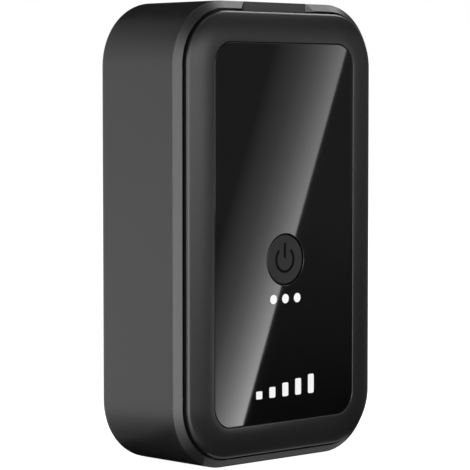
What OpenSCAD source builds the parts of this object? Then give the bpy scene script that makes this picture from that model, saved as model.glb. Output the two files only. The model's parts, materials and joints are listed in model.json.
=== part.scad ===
// A small magnetic tracker: a black tub with a chamfered rim, a domed front bezel round a
// gloss window with one press button, and a soft port cover in the top end.
// It stands on its bottom end, facing -Y. The origin is the middle of the bottom of its box.

/* [Case] */
// Width of the case from side to side
case_w = 26.4; // [25.8:0.1:30]
// Height of the case from end to end
case_h = 44; // [43.5:0.5:52]
// Depth of the case from the front of the bezel to the back
case_d = 11.8; // [11.8:0.1:14]
// Radius of the four corners, seen from the front
corner_r = 6.1; // [5.6:0.1:6.6]
// Thickness of the side and end walls
wall = 1.4; // [1.3:0.05:1.5]
// Thickness of the back wall
back_wall = 1.3; // [1.2:0.05:1.5]
// Radius of the rounded edge round the back
back_edge_r = 0.6; // [0.3:0.05:0.9]

/* [Rim] */
// Width of the rim's chamfer, seen from the front
rim_in = 0.77; // [0.6:0.01:0.8]
// Depth of the rim's chamfer, front to back
rim_deep = 0.63; // [0.4:0.01:0.7]
// Radius of the rim's inner edge
rim_edge_r = 0.05; // [0.04:0.01:0.1]
// Radius of the edge between the chamfer and the side
side_edge_r = 0.14; // [0.08:0.01:0.2]
// Width of the notch in the top of the rim, at its narrow back
notch_w = 8.2; // [7.6:0.1:8.8]
// Widening of the notch on each side, towards the front
notch_flare = 0.9; // [0.5:0.05:1.1]

/* [Bezel] */
// Width of the dark gap between the rim and the bezel
parting_gap = 0.19; // [0.15:0.01:0.3]
// Step from the rim forward to the bezel's outer edge
bezel_proud = 0.42; // [0.35:0.01:0.5]
// Width of the bezel's domed band
bezel_band = 2.9; // [2.6:0.05:3.1]
// Rise of the band from its outer edge to the window
bezel_rise = 0.53; // [0.45:0.01:0.6]
// Radius of the bezel's outer edge
bezel_edge_r = 0.27; // [0.2:0.01:0.32]
// Thickness of the bezel's floor behind the window
bezel_floor = 0.75; // [0.6:0.05:0.8]

/* [Window] */
// Thickness of the gloss window
window_t = 1; // [0.8:0.05:1]
// Gap between the window and the bezel all round
window_fit = 0.06; // [0.03:0.01:0.1]
// Depth of the window's face behind the bezel's crest
window_sink = 0.04; // [0:0.01:0.08]
// Thickness of the adhesive tape behind the window
window_tape_t = 0.15; // [0.1:0.01:0.2]

/* [Button] */
// Diameter of the press button's cap
button_d = 4.8; // [4.4:0.1:5.2]
// Height of the button's centre, as a share of the case's height
button_share = 0.442; // [0.42:0.002:0.47]
// Travel of the button
button_travel = 0.3; // [0.2:0.05:0.3]
// Gap between the button and its bore all round
button_gap = 0.1; // [0.08:0.01:0.12]

/* [Port cover] */
// Room beside the card in the port's mouth
port_room = 0.85; // [0.8:0.05:1.1]
// Radius of the corners of the cover's plate
cover_corner = 0.8; // [0.5:0.05:1]
// Thickness of the cover's plate
cover_t = 0.6; // [0.5:0.05:0.65]
// Clearance between the cover and its seat all round
cover_fit = 0.12; // [0.1:0.01:0.15]
// Width of the ledge that the plate seats on
cover_ledge = 0.35; // [0.3:0.05:0.4]
// Depth of the rim under the plate
plug_deep = 0.6; // [0.4:0.05:0.7]

/* [Electronics] */
// Thickness of the circuit board
board_t = 0.8; // [0.6:0.1:0.8]
// Room between the bezel's floor and the positioning antenna
patch_room = 0.25; // [0.15:0.01:0.35]
// Room between the battery cell and each side wall
battery_side_room = 1.8; // [1.5:0.1:3]
// Room between the battery cell and the charging port
battery_port_room = 1.32; // [1:0.02:3]
// Room between the battery cell and the shield can
battery_can_room = 0.36; // [0.2:0.02:0.8]
// Diameter of the two holding magnets
magnet_d = 9; // [8:0.25:9.5]
// Thickness of the magnets
magnet_t = 1.5; // [1.2:0.1:1.5]
// Wall left behind each magnet
magnet_skin = 0.4; // [0.3:0.05:0.5]

/* [Hidden] */

$fn = 96;

// Overrun of every cut past the face that it opens
over = 0.5;
// Hairline between glued or seated faces
seat_gap = 0.02;
// Clearance of a screw or pin in its bore
pin_fit = 0.05;

// Places front to back
front_y = -case_d / 2;
back_y = case_d / 2;
bezel_edge_y = front_y + bezel_rise;
rim_y = bezel_edge_y + bezel_proud;
wall_y = rim_y + rim_deep;
window_y = front_y + window_sink;
tape_y = window_y + window_t;
floor_y = tape_y + window_tape_t;
flange_y = floor_y + bezel_floor;
seal_t = 0.15;
seat_y = flange_y + seal_t;
patch_t = 1.5;
patch_metal_t = 0.05;
board_y = flange_y + patch_room + patch_metal_t + patch_t;
board_back_y = board_y + board_t;
inner_y = back_y - back_wall;
magnet_back_y = back_y - magnet_skin;
magnet_y = magnet_back_y - magnet_t;

// Facets round the rim's inner edge
rim_edge_steps = 4;

// Insets from the case's outline
bezel_in = rim_in + parting_gap;
window_in = bezel_in + bezel_band;
skirt_fit = 0.1;
skirt_in = wall + skirt_fit;
skirt_t = 0.8;
skirt_deep = 1;
dome_r = (bezel_band * bezel_band + bezel_rise * bezel_rise) / (2 * bezel_rise);

// Groove in the bezel's side, under its lip, for the soft ring
lip_drop = 0.24;
groove_w = 0.6;
groove_deep = 0.35;
groove_y = bezel_edge_y + lip_drop;
ring_sink = 0.08;

// Case screws and their pillars, at the corners
boss_r = 1.6;
screw_in = corner_r - (corner_r - wall - boss_r - 3 * skirt_fit) / sqrt(2);
screw_r = 0.6;
screw_head_r = 1.25;
screw_head_deep = 0.65;
screw_sink = 0.1;
screw_cross_l = 1.5;
screw_cross_w = 0.35;
screw_cross_deep = 0.4;
pillar_r = 2;
pillar_y = board_back_y + 0.25 * board_t;
boss_y = pillar_y - 2 * seat_gap;
screw_tip_y = boss_y - 2.4 * screw_r;
screw_bore_y = screw_tip_y - screw_r / 2;

// Button and switch
button_z = button_share * case_h;
button_r = button_d / 2;
button_bore_r = button_r + button_gap;
button_sink = 0.04;
button_edge_r = 0.15;
button_flange_w = 0.5;
button_flange_t = 0.35;
button_y = window_y + button_sink;
button_flange_y = flange_y + seat_gap;
button_back_y = button_flange_y + button_flange_t;
switch_w = 3.4;
switch_room = 0.06;
switch_plate_t = 0.1;
switch_plate_y = button_back_y + button_travel + switch_room;
switch_base_y = switch_plate_y + switch_plate_t;
switch_floor_t = 0.15;
dome_t = 0.05;
stem_r = 0.8;
stem_foot_w = 0.25;
stem_foot_r = stem_r + stem_foot_w;
stem_foot_t = 0.12;
dome_margin = 0.1;
dome_disc_r = stem_foot_r + dome_margin;
well_fit = 0.1;
well_r = dome_disc_r + well_fit;
well_y = board_y - switch_floor_t;
stem_foot_y = switch_base_y + seat_gap;
stem_end_y = min(stem_foot_y + stem_foot_t, well_y - dome_t - button_travel - seat_gap);

// Card that the reader holds
card_w = 8.8;
card_h = 12.3;
card_t = 0.67;
card_corner = 1.1;

// Soft cover over the ports, with its tab in the rim's notch and its bead at the back
port_w = card_w + 2 * port_room;
cover_w = port_w + 2 * cover_ledge;
cover_front_y = seat_y + 2 * cover_fit;
usb_deep = 2.5;
port_front_y = cover_front_y + cover_ledge;
cover_back_y = board_back_y + usb_deep + cover_ledge + 2 * cover_fit;
port_back_y = cover_back_y - cover_ledge;
cover_floor_z = case_h - cover_t;
tab_z = case_h - bezel_in + cover_fit / 2;
plug_t = 0.6;
bead_r = 0.3;
bead_fit = 0.06;
bead_l = 5.2;
bead_drop = 0.35;
neck_l = 0.65;
neck_w = 3.8;
neck_t = 0.4;
bead_y = cover_back_y + neck_l;
bead_z = case_h - bead_drop;

// Port and card reader, set from the top end
usb_w = 7.5;
usb_l = 5;
usb_wall = 0.25;
usb_corner = 0.8;
usb_top_z = case_h - wall - 0.3 * wall;
tongue_w = 3.9;
tongue_t = 0.6;
tongue_l = 3.6;
card_eject = 1.2;
card_push = 0.3;
card_top_z = cover_floor_z - plug_deep - card_eject - cover_fit;
cage_t = 0.15;
contact_w = 1.2;
contact_t = 0.08;
card_back_y = board_y - cage_t - contact_t - pin_fit;
card_front_y = card_back_y - card_t;
cage_fit = 0.1;
cage_w = card_w + 2 * (cage_t + cage_fit);
cage_top_z = card_top_z - 0.8 * card_eject;
cage_low_z = card_top_z - card_h - card_push - 3 * cage_t;
cage_y = card_front_y - cage_t - pin_fit;

// Board
board_in = 2;
board_top_z = usb_top_z - 0.26 * usb_l;
board_notch = 0.3;
post_r = 1.3;
post_x = case_w / 2 - skirt_in - skirt_t - post_r - skirt_fit;
post_z = (button_z + switch_w / 2 + cage_low_z) / 2;
post_screw_r = 0.45;
post_screw_head_r = 0.95;
post_screw_head_t = 0.4;
can_side_room = 3.2;
can_port_room = 4.2;
can_t = 1.8;
can_wall = 0.15;
can_drop = 3;
can_w = case_w - 2 * (board_in + can_side_room);
can_z = button_z - can_drop;
can_h = usb_top_z - usb_l - can_port_room - can_z;
film_t = 0.1;
led_w = 1.6;
led_h = 0.8;
led_t = 0.5;
led_x = 2.4;
led_z = post_z;
led_bore_r = 0.6;
chip_t = 0.8;
chip_edge = 4.6;
chip_small = 2.6;
chip_gap = 0.4;
passive_w = 0.5;
passive_h = 1;
passive_t = 0.35;
passive_step = 1.6;
passive_count = 5;
patch_w = 9;
patch_z = 3.6;
patch_metal_in = 0.8;
patch_pin_r = 0.4;

// Microphone behind its pinhole in the bottom end
mic_r = 1.5;
mic_h = 1.4;
mic_room = 0.5;
mic_y = board_back_y + mic_r + mic_room;
mic_hole_r = 0.4;
boot_t = 0.4;
boot_lip = 0.4;

// Battery, seated on the magnets' rings
battery_tape_t = 0.1;
battery_tape_y = magnet_y - battery_tape_t;
battery_y = board_back_y + can_t + battery_can_room;
battery_t = battery_tape_y - battery_y;
battery_pillar_room = 0.28;
battery_z = screw_in + pillar_r + battery_pillar_room;
battery_w = case_w - 2 * (wall + battery_side_room);
battery_h = usb_top_z - usb_l - battery_port_room - battery_z;
battery_edge_share = 0.225;
battery_edge_r = battery_edge_share * battery_t;
battery_tape_share = 0.8;
battery_board_w = case_w - 2 * (screw_in + pillar_r + battery_pillar_room);
battery_board_h = 2;
battery_board_t_share = 0.26;
battery_board_t = battery_board_t_share * battery_t;
lead_r = 0.3;
magnet_ring_t = 0.8;
magnet_fit = 0.05;
magnet_low_share = 0.3;
magnet_high_share = 0.7;

// Antenna film on the left wall
film_antenna_t = 0.12;
film_antenna_room = 1.18;
film_antenna_end = 8.5;
film_antenna_w = inner_y - board_back_y - 2 * film_antenna_room;
film_antenna_h = case_h - 2 * film_antenna_end;
film_antenna_slot = 0.7;
film_antenna_slots = 4;

// Colours
black_plastic = [0.13, 0.13, 0.135];
black_gloss = [0.02, 0.02, 0.022];
button_grey = [0.2, 0.2, 0.205];
silicone = [0.15, 0.15, 0.15];
steel = [0.72, 0.72, 0.73];
gold = [0.85, 0.68, 0.3];
board_green = [0.05, 0.3, 0.16];
chip_black = [0.08, 0.08, 0.08];
tape_dark = [0.1, 0.1, 0.1];
film_amber = [0.75, 0.45, 0.1];
ceramic = [0.85, 0.83, 0.76];
cell_silver = [0.75, 0.76, 0.78];
nickel = [0.62, 0.62, 0.64];
card_white = [0.9, 0.9, 0.88];
lead_colours = ["red", "black"];

// A box between two corners
module block(low, high) {
    translate(low)
        cube(high - low);
}

// A box between two corners, with its upright edges rounded
module soft_block(low, high, r) {
    translate([0, 0, low[2]])
        linear_extrude(high[2] - low[2]) {
            translate([low[0] + r, low[1]])
                square([high[0] - low[0] - 2 * r, high[1] - low[1]]);
            translate([low[0], low[1] + r])
                square([high[0] - low[0], high[1] - low[1] - 2 * r]);
            for (x = [low[0] + r, high[0] - r], y = [low[1] + r, high[1] - r])
                translate([x, y])
                    circle(r);
        }
}

// A round bar along Y
module bar_y(r, from, to) {
    translate([0, from, 0])
        rotate([-90, 0, 0])
            cylinder(h = to - from, r = r);
}

// The case's outline, seen from the front and drawn in by an inset
module outline(inset) {
    w = case_w - 2 * inset;
    h = case_h - 2 * inset;
    r = corner_r - inset;
    translate([-w / 2, inset + r])
        square([w, h - 2 * r]);
    translate([r - w / 2, inset])
        square([w - 2 * r, h]);
    for (side = [-1, 1], z = [inset + r, case_h - inset - r])
        translate([side * (w / 2 - r), z])
            circle(r);
}

// A slab with that outline between two depths
module layer(inset, from, to) {
    translate([0, to, 0])
        rotate([90, 0, 0])
            linear_extrude(to - from)
                outline(inset);
}

// Sweeps an edge section, drawn out to $reach, round the case's outline
module sweep_edge(inset) {
    run_w = case_w - 2 * corner_r;
    run_h = case_h - 2 * corner_r;
    for (side = [-1, 1], z = [corner_r, case_h - corner_r])
        translate([side * run_w / 2, 0, z])
            rotate([-90, 0, 0])
                rotate_extrude()
                    let ($reach = corner_r - inset)
                        children();
    translate([0, 0, corner_r])
        linear_extrude(run_h)
            both_sides()
                let ($reach = case_w / 2 - inset)
                    children();
    translate([-run_w / 2, 0, case_h / 2])
        rotate([0, 90, 0])
            linear_extrude(run_w)
                both_sides()
                    let ($reach = case_h / 2 - inset)
                        children();
}

module both_sides() {
    children();
    mirror([1, 0])
        children();
}

// Half section of the case: chamfered at the rim, with soft edges, and rounded at the back
module case_section() {
    round_y = back_y - back_edge_r;
    chamfer_l = norm([rim_in, rim_deep]);
    out = [rim_deep, -rim_in] / chamfer_l;
    tip = [$reach - rim_in + rim_edge_r, rim_y + rim_edge_r * (rim_deep + chamfer_l) / rim_in];
    bend = [$reach - side_edge_r, wall_y + side_edge_r * (chamfer_l - rim_deep) / rim_in];
    turn = 180 - atan2(rim_in, rim_deep);
    tip_arc = [for (step = [0:rim_edge_steps])
        let (angle = 180 + turn * step / rim_edge_steps)
            tip + rim_edge_r * [cos(angle), sin(angle)]];
    polygon(concat([[0, tip[1]]], tip_arc, [bend + side_edge_r * out, [$reach, bend[1]],
        [$reach, round_y], [0, round_y]]));
    translate(bend)
        circle(side_edge_r);
    translate([0, wall_y])
        square([$reach - back_edge_r, back_y - wall_y]);
    translate([$reach - back_edge_r, round_y])
        circle(back_edge_r);
}

// Half section of the bezel: an arc that rises to the window, with a rounded outer edge and a
// groove under it
module bezel_section() {
    band_x = $reach - bezel_band;
    dome_y = front_y + dome_r;
    edge_x = $reach - bezel_edge_r;
    edge_y = dome_y - sqrt(pow(dome_r - bezel_edge_r, 2) - pow(edge_x - band_x, 2));
    out = [edge_x - band_x, edge_y - dome_y] / (dome_r - bezel_edge_r);
    difference() {
        union() {
            difference() {
                intersection() {
                    translate([0, front_y])
                        square([$reach, flange_y - front_y]);
                    union() {
                        translate([0, front_y])
                            square([band_x, flange_y - front_y]);
                        translate([band_x, dome_y])
                            circle(dome_r);
                    }
                }
                polygon([[edge_x, edge_y], [edge_x, edge_y] + out,
                    [$reach + over, front_y], [$reach + over, edge_y]]);
            }
            translate([edge_x, edge_y])
                circle(bezel_edge_r);
        }
        translate([$reach - groove_deep, groove_y])
            square([groove_deep + over, groove_w]);
    }
}

module screw_places() {
    for (side = [-1, 1], z = [screw_in, case_h - screw_in])
        translate([side * (case_w / 2 - screw_in), 0, z])
            children();
}

module magnet_places() {
    for (share = [magnet_low_share, magnet_high_share])
        translate([0, 0, share * case_h])
            children();
}

module button_place() {
    translate([0, 0, button_z])
        children();
}

// The port, the cover's seat, its neck and its bead's groove, cut from the top wall
module port_cuts() {
    seat_w = cover_w + 2 * cover_fit;
    soft_block([-seat_w / 2, cover_front_y - cover_fit, cover_floor_z - seat_gap],
        [seat_w / 2, cover_back_y + cover_fit, case_h + over], cover_corner + cover_fit);
    block([-port_w / 2, port_front_y, case_h - wall - over],
        [port_w / 2, port_back_y, case_h]);
    block([-neck_w / 2 - cover_fit, port_back_y, bead_z - neck_t / 2 - bead_fit],
        [neck_w / 2 + cover_fit, bead_y, case_h + over]);
    translate([-bead_l / 2 - bead_fit, bead_y, bead_z])
        rotate([0, 90, 0])
            cylinder(h = bead_l + 2 * bead_fit, r = bead_r + bead_fit);
    block([-bead_l / 2 - bead_fit, bead_y - bead_r - bead_fit, bead_z],
        [bead_l / 2 + bead_fit, bead_y + bead_r + bead_fit, case_h + over]);
}

// The notch in the top of the rim: flared in front, straight where the tab lies
module rim_notch() {
    half = notch_w / 2;
    wide = half + notch_flare;
    slope = notch_flare / rim_deep;
    low = tab_z - cover_fit;
    translate([0, 0, low])
        linear_extrude(case_h - low + over)
            polygon([[-half, wall_y], [-wide - over * slope, rim_y - over],
                [wide + over * slope, rim_y - over], [half, wall_y]]);
    block([-half - cover_fit, wall_y - seat_gap, low],
        [half + cover_fit, cover_front_y, case_h + over]);
}

// The tub
module rear_housing() {
    color(black_plastic)
        difference() {
            union() {
                difference() {
                    sweep_edge(0)
                        case_section();
                    layer(rim_in, rim_y - over, seat_y);
                    layer(wall, seat_y - over, inner_y);
                }
                screw_places()
                    bar_y(pillar_r, pillar_y, inner_y + over);
                magnet_places()
                    bar_y(magnet_d / 2 + magnet_fit + magnet_ring_t, magnet_y, inner_y + over);
            }
            magnet_places()
                bar_y(magnet_d / 2 + magnet_fit, magnet_y - over, magnet_back_y);
            screw_places() {
                bar_y(screw_r + pin_fit, pillar_y - over, back_y + over);
                translate([0, back_y - screw_sink - screw_head_deep, 0])
                    rotate([-90, 0, 0])
                        cylinder(h = screw_head_deep, r1 = screw_r + pin_fit, r2 = screw_head_r + pin_fit);
                bar_y(screw_head_r + pin_fit, back_y - screw_sink, back_y + over);
            }
            port_cuts();
            rim_notch();
            translate([0, mic_y, -over])
                cylinder(h = wall + 2 * over, r = mic_hole_r);
        }
}

// The domed band, its floor, skirt, corner bosses and board posts
module front_bezel() {
    port_clear = port_w / 2 + 2 * cover_fit;
    color(black_plastic)
        difference() {
            union() {
                difference() {
                    sweep_edge(bezel_in)
                        bezel_section();
                    layer(window_in, front_y - over, floor_y);
                }
                difference() {
                    layer(skirt_in, flange_y - over / 2, flange_y + skirt_deep);
                    layer(skirt_in + skirt_t, flange_y, flange_y + skirt_deep + over);
                    block([-port_clear, flange_y, case_h / 2],
                        [port_clear, flange_y + skirt_deep + over, case_h]);
                }
                screw_places()
                    bar_y(boss_r, flange_y - over / 2, boss_y);
                for (side = [-1, 1])
                    translate([side * post_x, 0, post_z])
                        bar_y(post_r, flange_y - over / 2, board_y - seat_gap);
            }
            button_place()
                bar_y(button_bore_r, front_y - over, flange_y + over);
            screw_places()
                bar_y(screw_r + seat_gap, screw_bore_y, boss_y + over);
            for (side = [-1, 1]) {
                translate([side * post_x, 0, post_z])
                    bar_y(post_screw_r + seat_gap, flange_y, board_y + over);
                translate([side * led_x, 0, led_z])
                    bar_y(led_bore_r, floor_y - over, flange_y + over);
            }
        }
}

// The gloss window, with the button's bore
module front_window() {
    color(black_gloss)
        difference() {
            layer(window_in + window_fit, window_y, tape_y);
            button_place()
                bar_y(button_bore_r, window_y - over, tape_y + over);
        }
}

// Adhesive between the window and the bezel's floor
module window_tape() {
    color(tape_dark)
        difference() {
            layer(window_in + 2 * window_tape_t, tape_y, floor_y);
            button_place()
                bar_y(button_bore_r + button_gap, tape_y - over, floor_y + over);
            for (side = [-1, 1])
                translate([side * led_x, 0, led_z])
                    bar_y(led_bore_r, tape_y - over, floor_y + over);
        }
}

// Flat gasket between the bezel's flange and the housing's shoulder, and the soft ring in the
// bezel's groove that shows as the dark line round it
module case_seal() {
    seal_in = bezel_in + seat_gap;
    ring_in = bezel_in + ring_sink;
    color(silicone) {
        difference() {
            layer(seal_in, flange_y, seat_y);
            layer(wall, flange_y - over, seat_y + over);
        }
        difference() {
            layer(ring_in, groove_y + seat_gap, groove_y + groove_w - seat_gap);
            layer(bezel_in + groove_deep - seat_gap, groove_y, groove_y + groove_w);
        }
    }
}

// One countersunk screw with a cross recess
module case_screws() {
    head_y = back_y - screw_sink;
    color(steel)
        screw_places()
            difference() {
                union() {
                    bar_y(screw_r, screw_tip_y, head_y - seat_gap);
                    translate([0, head_y - screw_head_deep, 0])
                        rotate([-90, 0, 0])
                            cylinder(h = screw_head_deep, r1 = screw_r, r2 = screw_head_r);
                }
                block([-screw_cross_l / 2, head_y - screw_cross_deep, -screw_cross_w / 2],
                    [screw_cross_l / 2, head_y + over, screw_cross_w / 2]);
                block([-screw_cross_w / 2, head_y - screw_cross_deep, -screw_cross_l / 2],
                    [screw_cross_w / 2, head_y + over, screw_cross_l / 2]);
            }
}

// The round cap with a rounded edge and a flange that holds it behind the bezel's floor
module power_button() {
    color(button_grey)
        button_place()
            translate([0, button_y, 0])
                rotate([-90, 0, 0])
                    rotate_extrude() {
                        translate([0, button_edge_r])
                            square([button_r, button_flange_y - button_y]);
                        square([button_r - button_edge_r, button_edge_r]);
                        translate([button_r - button_edge_r, button_edge_r])
                            circle(button_edge_r);
                        translate([0, button_flange_y - button_y])
                            square([button_r + button_flange_w, button_flange_t]);
                    }
}

// The switch's plunger, which moves with the cap
module switch_stem() {
    color(chip_black)
        button_place() {
            bar_y(stem_r, button_back_y, stem_end_y);
            bar_y(stem_foot_r, stem_foot_y, stem_end_y);
        }
}

module switch_dome() {
    color(steel)
        button_place()
            bar_y(dome_disc_r, well_y - dome_t, well_y);
}

module switch_base() {
    half = switch_w / 2;
    color(chip_black)
        difference() {
            block([-half, switch_base_y, button_z - half], [half, board_y, button_z + half]);
            button_place()
                bar_y(well_r, switch_base_y - over, well_y);
        }
}

module switch_cover() {
    half = switch_w / 2;
    color(steel)
        difference() {
            block([-half, switch_plate_y, button_z - half], [half, switch_base_y, button_z + half]);
            button_place()
                bar_y(stem_r + pin_fit, switch_plate_y - over, switch_base_y + over);
        }
}

// The soft cover: plate, finger tab, rim that plugs the port, neck and bead
module port_cover() {
    half = cover_w / 2;
    plug_half = port_w / 2 - cover_fit;
    plug_front = port_front_y + cover_fit;
    plug_back = port_back_y - cover_fit;
    plug_z = cover_floor_z - plug_deep;
    color(silicone) {
        difference() {
            union() {
                soft_block([-half, cover_front_y, cover_floor_z], [half, cover_back_y, case_h],
                    cover_corner);
                block([-plug_half, plug_front, plug_z],
                    [plug_half, plug_back, cover_floor_z + cover_t / 2]);
                block([-notch_w / 2, wall_y, cover_floor_z],
                    [notch_w / 2, cover_front_y + cover_ledge / 2, case_h]);
                block([-notch_w / 2, wall_y, tab_z],
                    [notch_w / 2, cover_front_y - cover_fit, case_h]);
            }
            block([plug_t - plug_half, plug_front + plug_t, plug_z - over],
                [plug_half - plug_t, plug_back - plug_t, cover_floor_z]);
        }
        block([-neck_w / 2, cover_back_y - cover_ledge / 2, bead_z - neck_t / 2],
            [neck_w / 2, bead_y, bead_z + neck_t / 2]);
        translate([-bead_l / 2, bead_y, bead_z])
            rotate([0, 90, 0])
                cylinder(h = bead_l, r = bead_r);
    }
}

// The board, cut round the corner bosses
module main_board() {
    color(board_green)
        difference() {
            layer(board_in, board_y, board_back_y);
            block([-case_w, board_y - over, board_top_z], [case_w, board_back_y + over, case_h]);
            screw_places()
                bar_y(boss_r + board_notch, board_y - over, board_back_y + over);
            for (side = [-1, 1])
                translate([side * post_x, 0, post_z])
                    bar_y(post_screw_r + pin_fit, board_y - over, board_back_y + over);
        }
}

module board_screws() {
    color(steel)
        for (side = [-1, 1])
            translate([side * post_x, 0, post_z]) {
                bar_y(post_screw_r, flange_y + post_screw_head_t, board_back_y + post_screw_head_t);
                bar_y(post_screw_head_r, board_back_y, board_back_y + post_screw_head_t);
            }
}

// The pressed can over the radio, open towards the board
module shield_can() {
    color(steel)
        difference() {
            block([-can_w / 2, board_back_y, can_z], [can_w / 2, board_back_y + can_t, can_z + can_h]);
            block([can_wall - can_w / 2, board_back_y - over, can_z + can_wall],
                [can_w / 2 - can_wall, board_back_y + can_t - can_wall, can_z + can_h - can_wall]);
        }
}

// Five chips: two on the front of the board, one inside the can and two below it
module board_chips() {
    chip_x = case_w / 2 - board_in - chip_edge;
    chip_z = patch_z + patch_w + chip_gap;
    color(chip_black) {
        for (side = [-1, 1])
            block([side * chip_x - chip_small / 2, board_y - chip_t, chip_z],
                [side * chip_x + chip_small / 2, board_y, chip_z + chip_small]);
        block([-chip_edge / 2, board_back_y, can_z + can_h / 2 - chip_edge / 2],
            [chip_edge / 2, board_back_y + chip_t, can_z + can_h / 2 + chip_edge / 2]);
        for (side = [-1, 1])
            block([side * chip_edge - chip_small / 2, board_back_y, can_z - chip_edge],
                [side * chip_edge + chip_small / 2, board_back_y + chip_t, can_z - chip_edge + chip_small]);
    }
}

// Rows of small parts down both edges of the board's front
module board_passives() {
    row_x = case_w / 2 - board_in - 2 * passive_h;
    color(ceramic)
        for (side = [-1, 1], n = [0 : passive_count - 1])
            translate([side * row_x, board_y - passive_t, button_z + passive_step * (n - passive_count)])
                block([-passive_h / 2, 0, 0], [passive_h / 2, passive_t, passive_w]);
}

module status_leds() {
    color(card_white)
        for (side = [-1, 1])
            block([side * led_x - led_w / 2, board_y - led_t, led_z - led_h / 2],
                [side * led_x + led_w / 2, board_y, led_z + led_h / 2]);
}

// Ceramic block of the positioning antenna, with its metal face and pin as a second piece
module gnss_patch() {
    color(ceramic)
        difference() {
            block([-patch_w / 2, board_y - patch_t, patch_z], [patch_w / 2, board_y, patch_z + patch_w]);
            translate([0, 0, patch_z + patch_w / 2])
                bar_y(patch_pin_r + seat_gap, board_y - patch_t - over, board_y + over);
        }
}

module gnss_antenna() {
    half = patch_w / 2 - patch_metal_in;
    color(nickel)
        translate([0, 0, patch_z + patch_w / 2]) {
            block([-half, board_y - patch_t - patch_metal_t, -half], [half, board_y - patch_t, half]);
            bar_y(patch_pin_r, board_y - patch_t - patch_metal_t, board_y);
        }
}

// Printed antenna film on the left wall, slotted from alternate edges
module cellular_antenna() {
    x = -case_w / 2 + wall + seat_gap;
    low = case_h / 2 - film_antenna_h / 2;
    step = film_antenna_h / (film_antenna_slots + 1);
    mid = (board_back_y + inner_y) / 2;
    color(film_amber)
        difference() {
            block([x, mid - film_antenna_w / 2, low],
                [x + film_antenna_t, mid + film_antenna_w / 2, low + film_antenna_h]);
            for (n = [1 : film_antenna_slots])
                translate([0, (n % 2 == 0 ? 1 : -1) * film_antenna_w / 4, low + n * step])
                    block([x - over, mid - film_antenna_w / 2, 0],
                        [x + film_antenna_t + over, mid + film_antenna_w / 2, film_antenna_slot]);
        }
}

// Outline of the charging port, with two corners cut
module usb_profile(inset) {
    half = usb_w / 2 - inset;
    polygon([[-half, inset], [half, inset],
        [half, usb_deep - usb_corner], [half - usb_corner, usb_deep - inset],
        [usb_corner - half, usb_deep - inset], [-half, usb_deep - usb_corner]]);
}

module usb_shell() {
    color(steel)
        translate([0, board_back_y, usb_top_z - usb_l])
            difference() {
                linear_extrude(usb_l)
                    usb_profile(0);
                translate([0, 0, usb_wall])
                    linear_extrude(usb_l + over)
                        usb_profile(usb_wall);
            }
}

module usb_tongue() {
    mid = board_back_y + usb_deep / 2;
    low = usb_top_z - usb_l + usb_wall;
    color(chip_black) {
        block([-tongue_w / 2, mid - tongue_t / 2, low],
            [tongue_w / 2, mid + tongue_t / 2, low + tongue_l]);
        block([usb_wall + seat_gap - usb_w / 2, board_back_y + usb_wall + seat_gap, low],
            [usb_w / 2 - usb_wall - seat_gap, board_back_y + usb_deep - usb_corner, low + usb_corner]);
    }
}

// Pressed cage of the card reader, open at the top end
module sim_cage() {
    color(steel)
        difference() {
            block([-cage_w / 2, cage_y, cage_low_z], [cage_w / 2, board_y, cage_top_z]);
            block([cage_t - cage_w / 2, cage_y + cage_t, cage_low_z + cage_t],
                [cage_w / 2 - cage_t, board_y - cage_t, cage_top_z + over]);
        }
}

module sim_contacts() {
    color(gold)
        for (column = [-1, 1], row = [0 : 2])
            translate([column * card_w / 4, 0, card_top_z - card_h + card_h * (row + 1) / 4])
                block([-contact_w / 2, board_y - cage_t - contact_t, -contact_w / 2],
                    [contact_w / 2, board_y - cage_t, contact_w / 2]);
}

// The card, with its clipped corner
module sim_card() {
    half = card_w / 2;
    color(card_white)
        translate([0, card_back_y, card_top_z - card_h])
            rotate([90, 0, 0])
                linear_extrude(card_t)
                    polygon([[-half, 0], [half - card_corner, 0], [half, card_corner],
                        [half, card_h], [-half, card_h]]);
}

module microphone() {
    color(nickel)
        translate([0, mic_y, wall + boot_lip])
            cylinder(h = mic_h, r = mic_r);
}

// Rubber boot that seals the microphone to the bottom wall
module microphone_boot() {
    color(silicone)
        translate([0, mic_y, wall + seat_gap])
            difference() {
                cylinder(h = boot_lip + mic_h, r = mic_r + boot_t);
                translate([0, 0, -over])
                    cylinder(h = boot_lip + 2 * over, r = mic_hole_r);
                translate([0, 0, boot_lip - seat_gap])
                    cylinder(h = mic_h + over, r = mic_r + seat_gap);
            }
}

module insulation_film() {
    color(film_amber)
        block([-battery_w / 2, battery_y - film_t - seat_gap, battery_z],
            [battery_w / 2, battery_y - seat_gap, battery_z + battery_h]);
}

// Pouch cell with rounded long edges
module battery_cell() {
    half = battery_w / 2 - battery_edge_r;
    color(cell_silver)
        translate([0, battery_y, battery_z])
            linear_extrude(battery_h) {
                translate([-half, 0])
                    square([2 * half, battery_t]);
                for (side = [-1, 1]) {
                    translate([side * half - battery_edge_r, battery_edge_r])
                        square([2 * battery_edge_r, battery_t - 2 * battery_edge_r]);
                    for (y = [battery_edge_r, battery_t - battery_edge_r])
                        translate([side * half, y])
                            circle(battery_edge_r);
                }
            }
}

// Protection board on the cell's top end
module battery_board() {
    mid = battery_y + battery_t / 2;
    low = battery_z + battery_h + seat_gap;
    color(board_green)
        block([-battery_board_w / 2, mid - battery_board_t / 2, low],
            [battery_board_w / 2, mid + battery_board_t / 2, low + battery_board_h]);
}

// Two short leads from the protection board to the main board
module battery_leads() {
    lead_x = battery_board_w / 2 - 4 * lead_r;
    lead_z = battery_z + battery_h + battery_board_h / 2;
    end_y = battery_y + battery_t / 2 - battery_board_t / 2;
    for (n = [0, 1])
        color(lead_colours[n])
            translate([(2 * n - 1) * lead_x, 0, lead_z])
                bar_y(lead_r, board_back_y, end_y);
}

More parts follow.
